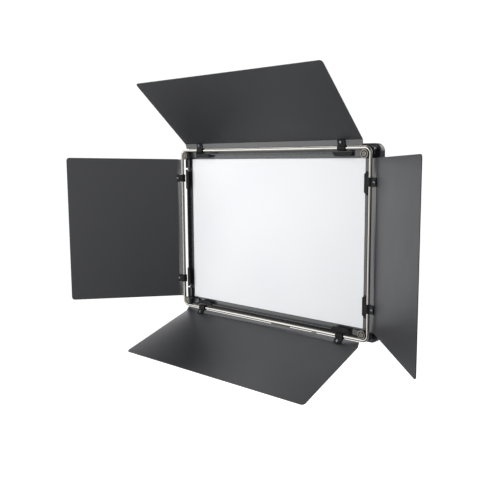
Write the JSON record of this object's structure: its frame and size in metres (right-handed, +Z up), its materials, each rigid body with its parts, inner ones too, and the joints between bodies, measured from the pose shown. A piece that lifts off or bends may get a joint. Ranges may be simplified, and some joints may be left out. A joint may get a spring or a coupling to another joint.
{
  "type": "led panel light",
  "caption": "Flat LED panel light with a pale diffuser, four hinged barn-door leaves on a chrome rod frame, rear controls and a tilting stand socket.",
  "frame": {"origin": "on the stand socket's axis at its mouth", "axes": "+Z up along the stand socket, +X to the right seen from the front; the light shines towards -Y"},
  "size_m": [0.8022, 0.28, 0.561],
  "materials": {
    "black_powder_coat": "fine satin powder coat",
    "black_leaf_paint": "matt black paint on sheet steel",
    "black_plastic": "fine textured moulding",
    "knob_plastic": "soft satin moulding",
    "chrome_rod": "bright chrome plate",
    "steel_screw": "plain steel",
    "aluminium_sink": "plain extruded aluminium",
    "led_board_white": "white solder mask",
    "circuit_board_green": "green solder mask",
    "gloss_black_window": "gloss display window",
    "opal_diffuser": "opal acrylic"
  },
  "bodies": {
    "stand_socket": {"stand_socket": "black_powder_coat"},
    "panel": {"back_cover": "black_powder_coat", "battery_plate": "black_plastic", "control_box": "black_plastic", "corner_bracket_bottom_left": "black_powder_coat", "corner_bracket_bottom_right": "black_powder_coat", "corner_bracket_top_left": "black_powder_coat", "corner_bracket_top_right": "black_powder_coat", "corner_screw_bottom_left": "steel_screw", "corner_screw_bottom_right": "steel_screw", "corner_screw_top_left": "steel_screw", "corner_screw_top_right": "steel_screw", "data_port": "steel_screw", "diffuser_panel": "opal_diffuser", "display_window": "gloss_black_window", "driver_board": "circuit_board_green", "front_bezel": "black_powder_coat", "heat_sink": "aluminium_sink", "hinge_rod_frame": "chrome_rod", "housing_shell": "black_powder_coat", "led_board": "led_board_white", "power_inlet": "black_plastic", "rear_bracket": "black_powder_coat", "rim_saddle_bottom_1": "black_plastic", "rim_saddle_bottom_2": "black_plastic", "rim_saddle_left_1": "black_plastic", "rim_saddle_left_2": "black_plastic", "rim_saddle_right_1": "black_plastic", "rim_saddle_right_2": "black_plastic", "rim_saddle_top_1": "black_plastic", "rim_saddle_top_2": "black_plastic", "tilt_pin": "steel_screw"},
    "leaf_top": {"leaf_top": "black_leaf_paint", "hinge_clip_top_1": "black_plastic", "clip_screw_top_1": "steel_screw", "hinge_clip_top_2": "black_plastic", "clip_screw_top_2": "steel_screw"},
    "leaf_bottom": {"leaf_bottom": "black_leaf_paint", "hinge_clip_bottom_1": "black_plastic", "clip_screw_bottom_1": "steel_screw", "hinge_clip_bottom_2": "black_plastic", "clip_screw_bottom_2": "steel_screw"},
    "leaf_left": {"leaf_left": "black_leaf_paint", "hinge_clip_left_1": "black_plastic", "clip_screw_left_1": "steel_screw", "hinge_clip_left_2": "black_plastic", "clip_screw_left_2": "steel_screw"},
    "leaf_right": {"leaf_right": "black_leaf_paint", "hinge_clip_right_1": "black_plastic", "clip_screw_right_1": "steel_screw", "hinge_clip_right_2": "black_plastic", "clip_screw_right_2": "steel_screw"},
    "brightness_dial": {"brightness_dial": "knob_plastic"},
    "colour_dial": {"colour_dial": "knob_plastic"},
    "mode_button": {"mode_button": "black_plastic"},
    "menu_button": {"menu_button": "black_plastic"},
    "power_rocker": {"power_rocker": "black_plastic"},
    "battery_release": {"battery_release": "black_plastic"},
    "tilt_lock_lever": {"tilt_lock_lever": "knob_plastic"},
    "stand_clamp_knob": {"stand_clamp_knob": "knob_plastic"}
  },
  "joints": [
    {"name": "panel_tilt", "type": "hinge", "parent": "stand_socket", "child": "panel", "pos_m": [0, 0, 0.07], "axis": [1, 0, 0], "range_deg": [-60, 20]},
    {"name": "top_leaf_hinge", "type": "hinge", "parent": "panel", "child": "leaf_top", "pos_m": [0, -0.0585, 0.434], "axis": [1, 0, 0], "range_deg": [-77, 48]},
    {"name": "bottom_leaf_hinge", "type": "hinge", "parent": "panel", "child": "leaf_bottom", "pos_m": [0, -0.0585, 0.11], "axis": [-1, 0, 0], "range_deg": [-60, 25]},
    {"name": "left_leaf_hinge", "type": "hinge", "parent": "panel", "child": "leaf_left", "pos_m": [-0.229, -0.0585, 0.272], "axis": [0, 0, 1], "range_deg": [-78, 132]},
    {"name": "right_leaf_hinge", "type": "hinge", "parent": "panel", "child": "leaf_right", "pos_m": [0.229, -0.0585, 0.272], "axis": [0, 0, -1], "range_deg": [-74, 132]},
    {"name": "brightness_turn", "type": "hinge", "parent": "panel", "child": "brightness_dial", "pos_m": [-0.052, 0.0134, 0.306], "axis": [0, 1, 0], "range_deg": [-150, 150]},
    {"name": "colour_turn", "type": "hinge", "parent": "panel", "child": "colour_dial", "pos_m": [0.052, 0.0134, 0.306], "axis": [0, 1, 0], "range_deg": [-150, 150]},
    {"name": "mode_press", "type": "slide", "parent": "panel", "child": "mode_button", "axis": [0, -1, 0], "range_m": [0, 0.0012], "stiffness_N_per_m": 900, "springref_m": -0.001},
    {"name": "menu_press", "type": "slide", "parent": "panel", "child": "menu_button", "axis": [0, -1, 0], "range_m": [0, 0.0012], "stiffness_N_per_m": 900, "springref_m": -0.001},
    {"name": "power_rock", "type": "hinge", "parent": "panel", "child": "power_rocker", "pos_m": [0, 0.0116, 0.264], "axis": [1, 0, 0], "range_deg": [-14, 0]},
    {"name": "battery_release_slide", "type": "slide", "parent": "panel", "child": "battery_release", "axis": [0, 0, -1], "range_m": [0, 0.004], "stiffness_N_per_m": 300, "springref_m": -0.002},
    {"name": "tilt_lever_turn", "type": "hinge", "parent": "panel", "child": "tilt_lock_lever", "pos_m": [0, 0, 0.07], "axis": [1, 0, 0], "range_deg": [-60, 60]},
    {"name": "stand_clamp_turn", "type": "hinge", "parent": "stand_socket", "child": "stand_clamp_knob", "pos_m": [0, 0.03, 0.018], "axis": [0, 1, 0], "range_deg": [-180, 180]}
  ]
}
